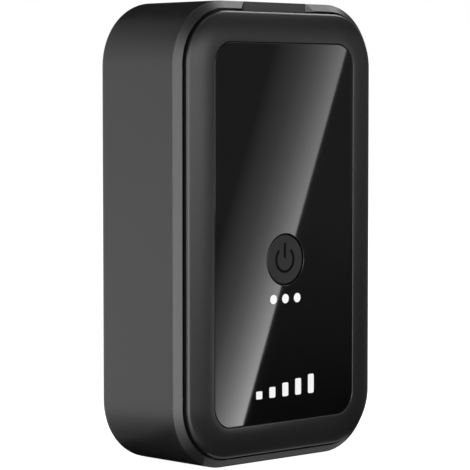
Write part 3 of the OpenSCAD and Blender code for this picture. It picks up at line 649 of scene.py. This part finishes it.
class Shape(Graph):
    """A Geometry Nodes tree with named inputs, which ends in realized, finished geometry."""

    def __init__(self, name):
        group = bpy.data.node_groups.new(name, "GeometryNodeTree")
        super().__init__(group)
        group.interface.new_socket("Geometry", in_out="OUTPUT", socket_type="NodeSocketGeometry")
        self.entry = group.nodes.new("NodeGroupInput")
        self.values = {}

    def given(self, sizes=None, **values):
        """Named inputs of the tree, for every size of a property group and for these values."""
        kinds = {int: "NodeSocketInt", float: "NodeSocketFloat", bpy.types.Material: "NodeSocketMaterial"}
        if sizes is not None:
            values.update({key: getattr(sizes, key) for key in sizes.__annotations__})
        signals = SimpleNamespace()
        for key, value in values.items():
            label = key.replace("_", " ").capitalize()
            socket = self.tree.interface.new_socket(label, in_out="INPUT", socket_type=kinds[type(value)])
            self.values[socket.identifier] = value
            setattr(signals, key, Signal(self, self.entry.outputs[socket.identifier]))
        return signals

    def join(self, *parts):
        return self.node("GeometryNodeJoinGeometry", None, list(parts))

    def choose(self, data_type, values):
        """The value whose place in the list is the index of the point."""
        settings = {"data_type": data_type, "items": len(values)}
        return self.node("GeometryNodeIndexSwitch", settings, self.node("GeometryNodeInputIndex"), *values)

    def combined(self, operation, *meshes):
        """A mesh boolean; a difference takes the later meshes from the first."""
        feeds = {"mesh": list(meshes)}
        if operation == "DIFFERENCE":
            feeds = {"mesh_1": meshes[0], "mesh_2": list(meshes[1:])}
        return self.node("GeometryNodeMeshBoolean", {"operation": operation, "solver": "EXACT"}, **feeds)

    def moved(self, geometry, x=0.0, y=0.0, z=0.0, turn=(0, 0, 0)):
        """Geometry turned about the axes and then moved along them."""
        place = self.vector(x, y, z)
        return self.node("GeometryNodeTransform", geometry=geometry, translation=place, rotation=turn)

    def stood_up(self, geometry, y, z):
        """Turns what lies in the XY plane to face -Y, and moves it to its place."""
        return self.moved(geometry, y=y, z=z, turn=(math.pi / 2, 0, 0))

    def circle(self, radius, sides):
        return self.node("GeometryNodeCurvePrimitiveCircle", resolution=sides, radius=radius)

    def rectangle(self, width, height):
        kind = "GeometryNodeCurvePrimitiveQuadrilateral"
        return self.node(kind, {"mode": "RECTANGLE"}, width=width, height=height)

    def filleted(self, curve, radius, steps, **inputs):
        feeds = {"curve": curve, "radius": radius, "count": steps, **inputs}
        return self.node("GeometryNodeFilletCurve", {"mode": "POLY"}, **feeds)

    def rounded(self, width, height, radius, steps):
        """A rounded rectangle as a curve in the XY plane."""
        return self.filleted(self.rectangle(width, height), radius, steps)

    def swept(self, path, profile):
        return self.node("GeometryNodeCurveToMesh", curve=path, profile_curve=profile)

    def slab(self, outline, thick, mode="NGONS"):
        """A closed plate that rises from an outline in the XY plane."""
        sheet = self.node("GeometryNodeFillCurve", {"mode": mode}, curve=outline)
        raised = self.node("GeometryNodeExtrudeMesh", mesh=sheet, offset_scale=thick, individual=False)
        return self.join(raised["Mesh"], self.node("GeometryNodeFlipFaces", mesh=sheet))

    def block(self, x, y, z):
        return self.node("GeometryNodeMeshCube", size=self.vector(x, y, z))

    def cone(self, low_r, high_r, low, high, sides=48):
        """A closed cone along Z, from a low radius and height to a high radius and height."""
        body = self.node(
            "GeometryNodeMeshCone", {"fill_type": "NGON"},
            vertices=sides, radius_bottom=low_r, radius_top=high_r, depth=high - low,
        )
        return self.moved(body, z=low)

    def row(self, number, pitch):
        """Points in a row along X, about the middle."""
        start = self.vector(-0.5 * pitch * (number - 1), 0, 0)
        step = self.vector(pitch, 0, 0)
        return self.node("GeometryNodeMeshLine", count=number, start_location=start, offset=step)

    def screw_places(self, head):
        """The points of the four case screws, whose heads have that radius, in the XY plane."""
        reach = (SCREWS_HIGH - SCREWS_LOW) / 2
        half = self.given(screws_x=reach.x - head, screws_z=reach.z - head)
        wide, high = 2 * half.screws_x, 2 * half.screws_z
        return self.node("GeometryNodeMeshGrid", size_x=wide, size_y=high, vertices_x=2, vertices_y=2)

    def strewn(self, points, instance, **inputs):
        """One instance on each point."""
        return self.node("GeometryNodeInstanceOnPoints", points=points, instance=instance, **inputs)

    def piece(self, name, geometry, finish):
        """Ends the tree, runs it once and returns its result as an object with a plain mesh."""
        solid = self.node("GeometryNodeRealizeInstances", geometry=geometry)
        coat = self.given(finish=finish).finish
        painted = self.node("GeometryNodeSetMaterial", geometry=solid, material=coat)
        self.node("NodeGroupOutput", None, painted)
        result = new_object(name, bpy.data.meshes.new(name))
        modifier = result.modifiers.new(name, "NODES")
        modifier.node_group = self.tree
        for identifier, value in self.values.items():
            modifier[identifier] = value
        graph = bpy.context.evaluated_depsgraph_get()
        mesh = bpy.data.meshes.new_from_object(result.evaluated_get(graph), depsgraph=graph)
        result.modifiers.remove(modifier)
        result.data = mesh
        tidy_mesh(mesh)
        return result


class TRACKER_OT_finish_parts(bpy.types.Operator):
    """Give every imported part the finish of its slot"""

    bl_idname = "tracker.finish_parts"
    bl_label = "Finish Packed Parts"

    def execute(self, context):
        slots = {row["node"]: row["material_slot"] for row in frame["record"]["subparts"]}
        for name, part in frame["nodes"].items():
            for slot in part.material_slots:
                slot.material = finish_for(slots[name])
        return {"FINISHED"}


class TRACKER_OT_make_bezel(bpy.types.Operator):
    """Sweep the domed band round the window and close it with its floor"""

    bl_idname = "tracker.make_bezel"
    bl_label = "Make Bezel"

    def execute(self, context):
        shape = Shape("Domed Bezel")
        size = shape.given(
            context.scene.tracker_bezel,
            front=BEZEL_LOW.y,
            middle=middle_of("front_bezel").z,
            corner_steps=40,
            bore=context.scene.tracker_button.bore,
            bore_z=middle_of("power_button").z,
            light_z=middle_of("status_leds").z,
            boss_end=BEZEL_HIGH.y,
            post_x=POSTS_HIGH.x - (POSTS_HIGH.z - POSTS_LOW.z) / 2,
            post_z=middle_of("board_screws").z,
            post_end=BOARD_FRONT,
            case_width=CAD_BOX[1][0] - CAD_BOX[0][0],
            case_height=CAD_BOX[1][2] - CAD_BOX[0][2],
            port_opening=COVER_HIGH.x - COVER_LOW.x,
        )
        wide, high = size.width - 2 * size.band, size.height - 2 * size.band
        corner = size.corner - size.band
        path = shape.rounded(wide, high, corner, size.corner_steps)
        band = shape.stood_up(shape.swept(path, self.profile(shape, size)), y=size.front, z=size.middle)

        lap = size.lap
        rim = shape.rounded(wide + 2 * lap, high + 2 * lap, corner + lap, size.corner_steps)
        hole = shape.moved(shape.circle(size.bore, 96), y=size.bore_z - size.middle)
        dot, light_y = shape.circle(size.light, 32), size.light_z - size.middle
        dots = [shape.moved(dot, x=side * size.light_step, y=light_y) for side in (-0.5, 0.5)]
        floor = shape.slab(shape.join(rim, hole, *dots), size.floor, mode="TRIANGLES")
        flange = size.front + size.depth
        plate = shape.stood_up(floor, y=flange, z=size.middle)
        corners = shape.screw_places(context.scene.tracker_screws.head)
        tubes = self.tubes(shape, size, flange, corners)
        whole = shape.join(band, plate, *tubes, self.skirt(shape, size, flange))
        piece = shape.piece("domed_bezel", whole, finish_for("bezel_plastic"))
        soften(piece)
        settle(piece, "case", "bezel_plastic", "front_bezel")
        return {"FINISHED"}

    def tubes(self, shape, size, flange, corners):
        """The bosses for the case screws and the board's posts, which stand on the floor's back."""
        posts = shape.row(2, 2 * size.post_x)
        for points, outer, bore, end, z in (
            (corners, size.boss, size.boss_bore, size.boss_end, size.middle),
            (posts, size.post, size.post_bore, size.post_end, size.post_z),
        ):
            tall = end - flange + size.sunk
            wall = shape.rectangle(outer - bore, tall)
            tube = shape.swept(shape.circle((outer + bore) / 2, 48), wall)
            yield shape.stood_up(shape.strewn(points, tube), y=end - tall / 2, z=z)

    def skirt(self, shape, size, flange):
        """The low wall round the floor's back, cut open where the port is."""
        thick, deep, high = size.skirt, size.skirt_deep, size.case_height
        line = 2 * size.skirt_in + thick
        path = shape.rounded(size.case_width - line, high - line, size.skirt_corner - thick / 2, 24)
        wall = shape.swept(path, shape.rectangle(thick, deep + size.sunk))
        # The block is as wide as the port and reaches well past the wall on its other sides.
        port = shape.moved(shape.block(size.port_opening, high / 4, 3 * deep), y=high / 2)
        cut = shape.combined("DIFFERENCE", wall, port)
        return shape.stood_up(cut, y=flange + (deep - size.sunk) / 2, z=size.middle)

    def profile(self, shape, size):
        """The band's closed section: X runs outwards, Y runs back from the crest."""
        band, rise, depth = size.band, size.rise, size.depth
        under = rise + size.drop
        after = under + size.groove
        inner = band - size.groove_deep
        spots = (
            (0, 0), (band, rise), (band, under), (inner, under),
            (inner, after), (band, after), (band, depth), (0, depth),
        )
        radii = [size.lip, size.edge] + [0.0] * (len(spots) - 2)
        corners = shape.choose("VECTOR", [shape.vector(*spot, 0) for spot in spots])
        # A circle with a point for each corner, which then moves to that corner.
        loop = shape.circle(1.0, len(spots))
        loop = shape.node("GeometryNodeSetPosition", geometry=loop, position=corners)
        loop = shape.filleted(loop, shape.choose("FLOAT", radii), 8, limit_radius=True)
        loop = shape.node("GeometryNodeSubdivideCurve", curve=loop, cuts=4)
        spot = shape.axes(shape.node("GeometryNodeInputPosition"))
        radius = (band * band + rise * rise) / (2 * rise)
        arc = radius - shape.maths("SQRT", radius * radius - spot["X"] * spot["X"])
        bulge = rise * spot["X"] / band - arc
        in_front = spot["Y"] < rise + size.drop * 0.5
        lift = shape.vector(0, -bulge * in_front, 0)
        return shape.node("GeometryNodeSetPosition", geometry=loop, offset=lift)


class TRACKER_OT_make_marks(bpy.types.Operator):
    """Print the row of dots under the button and the level bars near the bottom"""

    bl_idname = "tracker.make_marks"
    bl_label = "Make Marks"

    def execute(self, context):
        ink = printed_ink("white_print", context.scene.tracker_colours.print)
        shape = Shape("Printed Row")
        size = shape.given(context.scene.tracker_marks, window_face=WINDOW_LOW.y)
        whole, round_end, soft_corner = 1.0, 0.499 * size.dot, 0.22 * size.bar
        dots = (size.dot, size.dot, round_end, whole, size.dot_height - size.dot / 2)
        bars = (size.bar, size.bar_tall, soft_corner, size.bar_least, size.bar_height)
        rows = []
        for (wide, high, corner, least, foot), number, pitch in (
            (dots, size.dot_count, size.dot_pitch),
            (bars, size.bar_count, size.bar_pitch),
        ):
            outline = shape.rounded(wide, high, corner, 12)
            mark = shape.moved(shape.slab(outline, size.ink), y=high / 2)
            index = shape.node("GeometryNodeInputIndex")
            last = shape.maths("MAXIMUM", number - 1, 1)
            grown = shape.vector(1, least + (1 - least) * index / last, 1)
            placed = shape.strewn(shape.row(number, pitch), mark, scale=grown)
            rows.append(shape.stood_up(placed, y=size.window_face, z=foot))
        settle(shape.piece("window_marks", shape.join(*rows), ink), "case", "window_gloss")
        return {"FINISHED"}


class TRACKER_OT_make_contacts(bpy.types.Operator):
    """Lay the gold strips along the charging socket's tongue, on its side with the larger gap"""

    bl_idname = "tracker.make_contacts"
    bl_label = "Make Port Contacts"

    def execute(self, context):
        shape = Shape("Port Contacts")
        sizes = context.scene.tracker_contacts
        size = shape.given(sizes, tongue_tip=TONGUE_HIGH.z, tongue_face=TONGUE_HIGH.y)
        round_end = 0.45 * size.width
        outline = shape.rounded(size.width, size.long, round_end, 6)
        strip = shape.moved(shape.slab(outline, size.thick), z=-0.5 * size.thick)
        row = shape.strewn(shape.row(size.strips, size.pitch), strip)
        middle = size.tongue_tip - size.setback - 0.5 * size.long
        laid = shape.stood_up(row, y=size.tongue_face, z=middle)
        piece = shape.piece("port_contacts", laid, finish_for("gold_contact"))
        soften(piece)
        settle(piece, "case", "gold_contact")
        return {"FINISHED"}


class TRACKER_OT_make_screws(bpy.types.Operator):
    """Set the four cross-head screws in the corners of the back"""

    bl_idname = "tracker.make_screws"
    bl_label = "Make Case Screws"

    def execute(self, context):
        shape = Shape("Case Screws")
        size = shape.given(
            context.scene.tracker_screws,
            length=SCREWS_HIGH.y - SCREWS_LOW.y,
            head_face=SCREWS_HIGH.y,
            middle=middle_of("case_screws").z,
        )
        shank, head, land = size.shank, size.head, size.land
        # The tip tapers over half the shank's radius.
        tip_r, tip_end = 0.7 * shank, 0.5 * shank - size.length
        solid = shape.combined(
            "UNION",
            shape.cone(tip_r, shank, -size.length, tip_end),
            shape.cone(shank, shank, tip_end, -size.head_deep),
            shape.cone(shank, head, -size.head_deep, -land),
            shape.cone(head, head - land, -land, 0),
        )
        blade = shape.block(size.cross, size.cross_width, 2 * size.cross_deep)
        cross = shape.combined("UNION", blade, shape.moved(blade, turn=(0, 0, math.pi / 2)))
        narrow, wide, bottom = 0.3 * size.cross, 0.6 * size.cross, -1.2 * size.cross_deep
        recess = shape.combined("INTERSECT", cross, shape.cone(narrow, wide, bottom, size.cross_deep))
        screw = shape.combined("DIFFERENCE", solid, recess)
        points = shape.screw_places(context.scene.tracker_screws.head)
        placed = shape.strewn(points, screw, rotation=(0, 0, math.radians(20)))
        turned = shape.moved(placed, y=size.head_face, z=size.middle, turn=(-math.pi / 2, 0, 0))
        piece = shape.piece("cross_screws", turned, finish_for("screw_steel"))
        soften(piece)
        settle(piece, "case", "screw_steel", "case_screws")
        return {"FINISHED"}


def arc_points(centre, radius, start, sweep, steps):
    """Points of an arc in the XZ plane, as (x, z)."""
    turns = [start + sweep * step / steps for step in range(steps + 1)]
    return [(centre[0] + radius * math.cos(turn), centre[1] + radius * math.sin(turn)) for turn in turns]


def poured(name, shell, finish):
    """An object with the mesh that was drawn, its faces outwards."""
    bmesh.ops.recalc_face_normals(shell, faces=shell.faces)
    mesh = bpy.data.meshes.new(name)
    shell.to_mesh(mesh)
    shell.free()
    return new_object(name, mesh, finish)


def lathe(name, profile, finish, centre, steps=96):
    """A closed turned piece along Y: the profile runs from the axis out and back to it, as (radius, y)."""
    turned = bmesh.new()
    rings = []
    for radius, y in profile:
        ring = arc_points(centre, radius, 0, math.tau, steps)[:-1] if radius else [centre]
        rings.append([turned.verts.new((x, y, z)) for x, z in ring])
    for inner, outer in zip(rings, rings[1:]):
        for step in range(steps):
            after = (step + 1) % steps
            places = ((inner, step), (outer, step), (outer, after), (inner, after))
            corners = dict.fromkeys(ring[spot % len(ring)] for ring, spot in places)
            turned.faces.new(tuple(corners))
    return poured(name, turned, finish)


def printed_shape(name, outlines, finish, face_y, thickness):
    """Flat closed prints that stand off a face that looks along -Y."""
    raised = bmesh.new()
    for outline in outlines:
        foot = raised.faces.new([raised.verts.new((x, face_y, z)) for x, z in outline])
        grown = bmesh.ops.extrude_face_region(raised, geom=[foot], use_keep_orig=True)["geom"]
        top = [item for item in grown if isinstance(item, bmesh.types.BMVert)]
        bmesh.ops.translate(raised, verts=top, vec=(0, -thickness, 0))
    return poured(name, raised, finish)


class TRACKER_OT_make_button(bpy.types.Operator):
    """Turn the press button's cap and print the standby symbol on it"""

    bl_idname = "tracker.make_button"
    bl_label = "Make Button"

    def execute(self, context):
        sizes = context.scene.tracker_button
        middle = middle_of("power_button")
        centre = (middle.x, middle.z)
        face, back = BUTTON_LOW.y, BUTTON_HIGH.y
        reach = (BUTTON_HIGH.x - BUTTON_LOW.x) / 2
        flat = sizes.radius - sizes.edge
        shares = (0, 0.25, 0.5, 0.7, 0.85, 0.95)
        dish = [(flat * share, face + sizes.dish * (1 - share * share)) for share in shares]
        turns = [math.radians(degrees) for degrees in range(0, 91, 15)]
        edge = [
            (flat + sizes.edge * math.sin(turn), face + sizes.edge * (1 - math.cos(turn))) for turn in turns
        ]
        rear = back - sizes.flange
        flange = [(sizes.radius, rear), (reach, rear), (reach, back), (0, back)]
        cap = lathe("button_cap", dish + edge + flange, finish_for("button_plastic"), centre)
        soften(cap)
        settle(cap, "button", "button_plastic", "power_button")

        outlines = self.symbol(centre, sizes)
        ink = printed_ink("dark_print", context.scene.tracker_colours.symbol, 0.05)
        symbol = printed_shape("button_symbol", outlines, ink, face + sizes.dish, sizes.dish)
        settle(symbol, "button", "button_plastic")
        return {"FINISHED"}

    def symbol(self, centre, sizes):
        """Outlines of the broken ring and its upright bar, whose strokes end round."""
        radius, half = sizes.symbol, sizes.stroke / 2
        start, sweep = math.pi / 2 + sizes.gap, math.tau - 2 * sizes.gap
        first, last = arc_points(centre, radius, start, sweep, 1)
        ring = arc_points(centre, radius + half, start, sweep, 64)
        ring += arc_points(last, half, start + sweep, math.pi, 8)[1:-1]
        ring += reversed(arc_points(centre, radius - half, start, sweep, 64))
        ring += arc_points(first, half, start + math.pi, math.pi, 8)[1:-1]
        x, z = centre
        bar = arc_points((x, z + sizes.bar_high * radius), half, 0, math.pi, 10)
        bar += arc_points((x, z + sizes.bar_low * radius), half, math.pi, math.pi, 10)
        return ring, bar


def soft_copy(node, name, slot_name, body, width, least=math.radians(40)):
    """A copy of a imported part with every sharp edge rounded, which takes the part's place."""
    mesh = frame["nodes"][node].data.copy()
    mesh.name = name
    skin = bmesh.new()
    skin.from_mesh(mesh)
    bmesh.ops.remove_doubles(skin, verts=skin.verts, dist=0.001 * MM)
    bmesh.ops.dissolve_limit(skin, angle_limit=math.radians(0.5), verts=skin.verts, edges=skin.edges)
    skin.to_mesh(mesh)
    skin.free()
    mesh.materials.clear()
    mesh.shade_smooth()
    piece = new_object(name, mesh, finish_for(slot_name))
    rounding = piece.modifiers.new("Soft edges", "BEVEL")
    adjust(rounding, width=width, segments=3, use_clamp_overlap=True)
    adjust(rounding, limit_method="ANGLE", angle_limit=least)
    adjust(piece.modifiers.new("Level faces", "WEIGHTED_NORMAL"), weight=100)
    graph = bpy.context.evaluated_depsgraph_get()
    baked = bpy.data.meshes.new_from_object(piece.evaluated_get(graph))
    piece.modifiers.clear()
    piece.data = baked
    baked.name = name
    settle(piece, body, slot_name, node)


class TRACKER_OT_make_cover(bpy.types.Operator):
    """Round every edge of the soft port cover"""

    bl_idname = "tracker.make_cover"
    bl_label = "Make Port Cover"

    def execute(self, context):
        width = context.scene.tracker_edges.soft
        soft_copy("port_cover", "soft_cover", "silicone", "cover", width)
        return {"FINISHED"}


class TRACKER_OT_make_window(bpy.types.Operator):
    """Break the sharp edges of the gloss window"""

    bl_idname = "tracker.make_window"
    bl_label = "Make Window"

    def execute(self, context):
        width = context.scene.tracker_edges.window
        soft_copy("front_window", "gloss_window", "window_gloss", "case", width)
        return {"FINISHED"}


def stage_sheet(name, corners, material, faces=((0, 1, 2, 3),)):
    """A sheet of the studio, which isn't part of the tracker."""
    mesh = bpy.data.meshes.new(name)
    mesh.from_pydata(corners, [], faces)
    sheet = new_object(name, mesh, material)
    sheet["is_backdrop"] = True
    return sheet


def unseen_card(*parts):
    """A studio card that only shows in reflections."""
    card = stage_sheet(*parts)
    for rays in ("camera", "diffuse", "transmission", "volume_scatter", "shadow"):
        setattr(card, "visible_" + rays, False)


def square(half, height):
    """The corners of a level square about the middle."""
    return [(-half, -half, height), (half, -half, height), (half, half, height), (-half, half, height)]


class TRACKER_OT_make_studio(bpy.types.Operator):
    """Set up the camera, the floor, the soft lamps and the cards round the tracker"""

    bl_idname = "tracker.make_studio"
    bl_label = "Make Studio"

    def execute(self, context):
        sizes = context.scene.tracker_studio
        context.scene.view_settings.view_transform = "Standard"
        self.place_camera(context, sizes)
        self.light_world(context, sizes)
        self.lay_floor(sizes)
        for name, turn, rise, strength in LAMPS:
            self.hang_lamp(name, around(math.radians(turn), math.radians(rise)), sizes, strength)
        self.set_tent(sizes)
        self.set_strips(sizes)
        self.set_foot_card(sizes)
        self.set_lit_card(context, sizes)
        return {"FINISHED"}

    def place_camera(self, context, sizes):
        lens = bpy.data.cameras.new("studio_camera")
        adjust(lens, lens=sizes.lens, sensor_width=36, clip_start=0.01, clip_end=20)
        camera = new_object("studio_camera", lens)
        camera.location = Vector(sizes.target) + sizes.distance * around(sizes.turn, sizes.rise)
        camera.rotation_euler = (math.pi / 2 - sizes.rise, 0, sizes.turn)
        context.scene.camera = camera

    def light_world(self, context, sizes):
        """White behind the tracker and in its reflections, soft grey as a lamp."""
        world = bpy.data.worlds.new("studio_world")
        world.use_nodes = True
        graph = Graph(world.node_tree)
        path = graph.node("ShaderNodeLightPath")
        seen = graph.maths("MAXIMUM", path["Is Camera Ray"], path["Is Glossy Ray"])
        seen = graph.maths("MAXIMUM", seen, path["Is Transmission Ray"])
        strength = sizes.room + (1 - sizes.room) * seen
        sky = graph.node("ShaderNodeBackground", color=grey(1), strength=strength)
        graph.node("ShaderNodeOutputWorld", surface=sky)
        context.scene.world = world

    def lay_floor(self, sizes):
        """A pale floor that keeps the tracker's shadow."""
        finish = Finish("floor_paper")
        path = finish.node("ShaderNodeLightPath")
        tone = finish.blend(finish.noise(0.8 * MM), grey(0.58), grey(0.6))
        matte = finish.node("ShaderNodeBsdfDiffuse", color=tone)
        glow = finish.glow(0.9 * path["Is Camera Ray"])
        paper = finish.ending(finish.node("ShaderNodeAddShader", None, matte, glow))
        stage_sheet("studio_floor", square(sizes.floor / 2, 0), paper)

    def hang_lamp(self, name, towards, sizes, strength):
        """A square soft lamp, as bright as its level, where 1 is white paper's brightness."""
        light = bpy.data.lights.new(name, "AREA")
        adjust(light, shape="SQUARE", size=sizes.lamp, energy=math.pi * sizes.lamp**2 * strength)
        lamp = new_object(name, light)
        lamp.location = Vector((0, 0, CAD_BOX[1][2] / 2)) + sizes.lamp_reach * towards
        lamp.rotation_euler = (-towards).to_track_quat("-Z", "Y").to_euler()

    def set_tent(self, sizes):
        """Black cloth round the lamps and on the floor keeps the white room out of the gloss."""
        cloth = Finish("black_cloth")
        cloth = cloth.surface(base_color=grey(0.004), roughness=1.0, specular_ior_level=0.0)
        wall = [(sizes.tent, 0), (sizes.tent, sizes.tent_high)]
        self.bent_card("dark_tent", -math.pi, math.pi, wall, cloth)
        unseen_card("dark_floor", square(sizes.tent, CLOTH_LIFT), cloth)

    def set_strips(self, sizes):
        """Lit strips close to the walls, which they make even."""
        foot = [(sizes.strip_foot, CARD_LIFT), (sizes.strip, CARD_LIFT)]
        for name, first, last, share, strength in STRIPS:
            section = foot + [(sizes.strip, sizes.strip_high * share)]
            lit = Finish(name)
            spot = lit.axes(lit.spot())
            away = lit.maths("SQRT", spot["X"] * spot["X"] + spot["Y"] * spot["Y"]) / sizes.strip
            fade = lit.ramp(spot["Z"] / sizes.strip_high, HEIGHT_FADE)
            paper = lit.ending(lit.glow(strength * fade * lit.ramp(away, FOOT_FADE)))
            self.bent_card(name, math.radians(first), math.radians(last), section, paper)

    def bent_card(self, name, first, last, section, material, sides=24):
        """A card bent round the tracker from one turn to another; its section is radii and heights."""
        rows = len(section)
        corners, faces = [], []
        for step in range(sides + 1):
            towards = around(first + (last - first) * step / sides)
            corners += [tuple(radius * towards + Vector((0, 0, height))) for radius, height in section]
        for step in range(sides):
            for row in range(rows - 1):
                corner = step * rows + row
                faces.append((corner, corner + rows, corner + rows + 1, corner + 1))
        unseen_card(name, corners, material, faces)

    def set_foot_card(self, sizes):
        """A thin lit card at the bezel's foot."""
        left, right = BEZEL_LOW.x + sizes.foot_inset, BEZEL_HIGH.x
        near, far = BEZEL_LOW.y - sizes.foot_reach, BEZEL_LOW.y + sizes.foot_deep
        places = ((left, near), (right, near), (right, far), (left, far))
        lit = Finish("foot_card")
        paper = lit.ending(lit.glow(sizes.foot_level))
        unseen_card("foot_card", [(x, y, CARD_LIFT) for x, y in places], paper)

    def set_lit_card(self, context, sizes):
        """One lit card whose slanting edge crosses the window's reflection, over a faint veil."""
        eye = context.scene.camera.location
        plane = WINDOW_LOW.y
        mirrored = Vector((eye.x, 2 * plane - eye.y, eye.z))
        reach = (sizes.card_y - mirrored.y) / (plane - mirrored.y)

        def cast(x, z):
            """Where the card shows in the window at that place."""
            return mirrored + reach * (Vector((x, plane, z)) - mirrored)

        left, right, foot, top = WINDOW_LOW.x, WINDOW_HIGH.x, WINDOW_LOW.z, WINDOW_HIGH.z
        corners = [cast(left, foot), cast(right, foot), cast(right, top), cast(left, top)]
        low, high = cast(*sizes.sheen_bottom), cast(*sizes.sheen_top)
        lean = (high.x - low.x) / (high.z - low.z)
        lit = Finish("lit_card")
        spot = lit.axes(lit.spot())
        drop = (high.z - spot["Z"]) / (high.z - low.z)
        inwards = (low.x + lean * (spot["Z"] - low.z) - spot["X"]) / (reach * sizes.sheen_width)
        brightness = sizes.sheen_level + sizes.sheen_gain * drop * drop
        sheen = lit.ramp(inwards, SHEEN_FADE) * (inwards > 0) * brightness
        paper = lit.ending(lit.glow(sheen + lit.ramp(drop, VEIL_FADE)))
        unseen_card("lit_card", corners, paper)


class TRACKER_PT_panel(bpy.types.Panel):
    """Lists what makes the tracker"""

    bl_label = "Tracker"
    bl_idname = "TRACKER_PT_panel"
    bl_space_type = "VIEW_3D"
    bl_region_type = "UI"
    bl_category = "Tracker"

    def draw(self, context):
        for operator in OPERATORS:
            self.layout.operator(operator.bl_idname)
        for group in SETTINGS:
            box = self.layout.box()
            settings = getattr(context.scene, group)
            for name in settings.__annotations__:
                box.prop(settings, name)


OPERATORS = (
    TRACKER_OT_finish_parts,
    TRACKER_OT_make_bezel,
    TRACKER_OT_make_window,
    TRACKER_OT_make_marks,
    TRACKER_OT_make_button,
    TRACKER_OT_make_cover,
    TRACKER_OT_make_screws,
    TRACKER_OT_make_contacts,
    TRACKER_OT_make_studio,
)

SETTINGS = {
    "tracker_bezel": BezelSizes,
    "tracker_button": ButtonSizes,
    "tracker_marks": MarkSizes,
    "tracker_edges": EdgeSizes,
    "tracker_screws": ScrewSizes,
    "tracker_contacts": ContactSizes,
    "tracker_colours": FinishColours,
    "tracker_studio": StudioSizes,
}

CLASSES = (*SETTINGS.values(), *OPERATORS, TRACKER_PT_panel)


def register():
    for kind in CLASSES:
        bpy.utils.register_class(kind)
    for name, kind in SETTINGS.items():
        setattr(bpy.types.Scene, name, PointerProperty(type=kind))


def unregister():
    for name in SETTINGS:
        delattr(bpy.types.Scene, name)
    for kind in reversed(CLASSES):
        bpy.utils.unregister_class(kind)


def main():
    register()
    for operator in OPERATORS:
        group, name = operator.bl_idname.split(".")
        getattr(getattr(bpy.ops, group), name)()
    boxes = {"cad": CAD_BOX, "visual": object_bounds()}
    plain = {name: [list(corner) for corner in box] for name, box in boxes.items()}


if __name__ == "__main__":
    main()
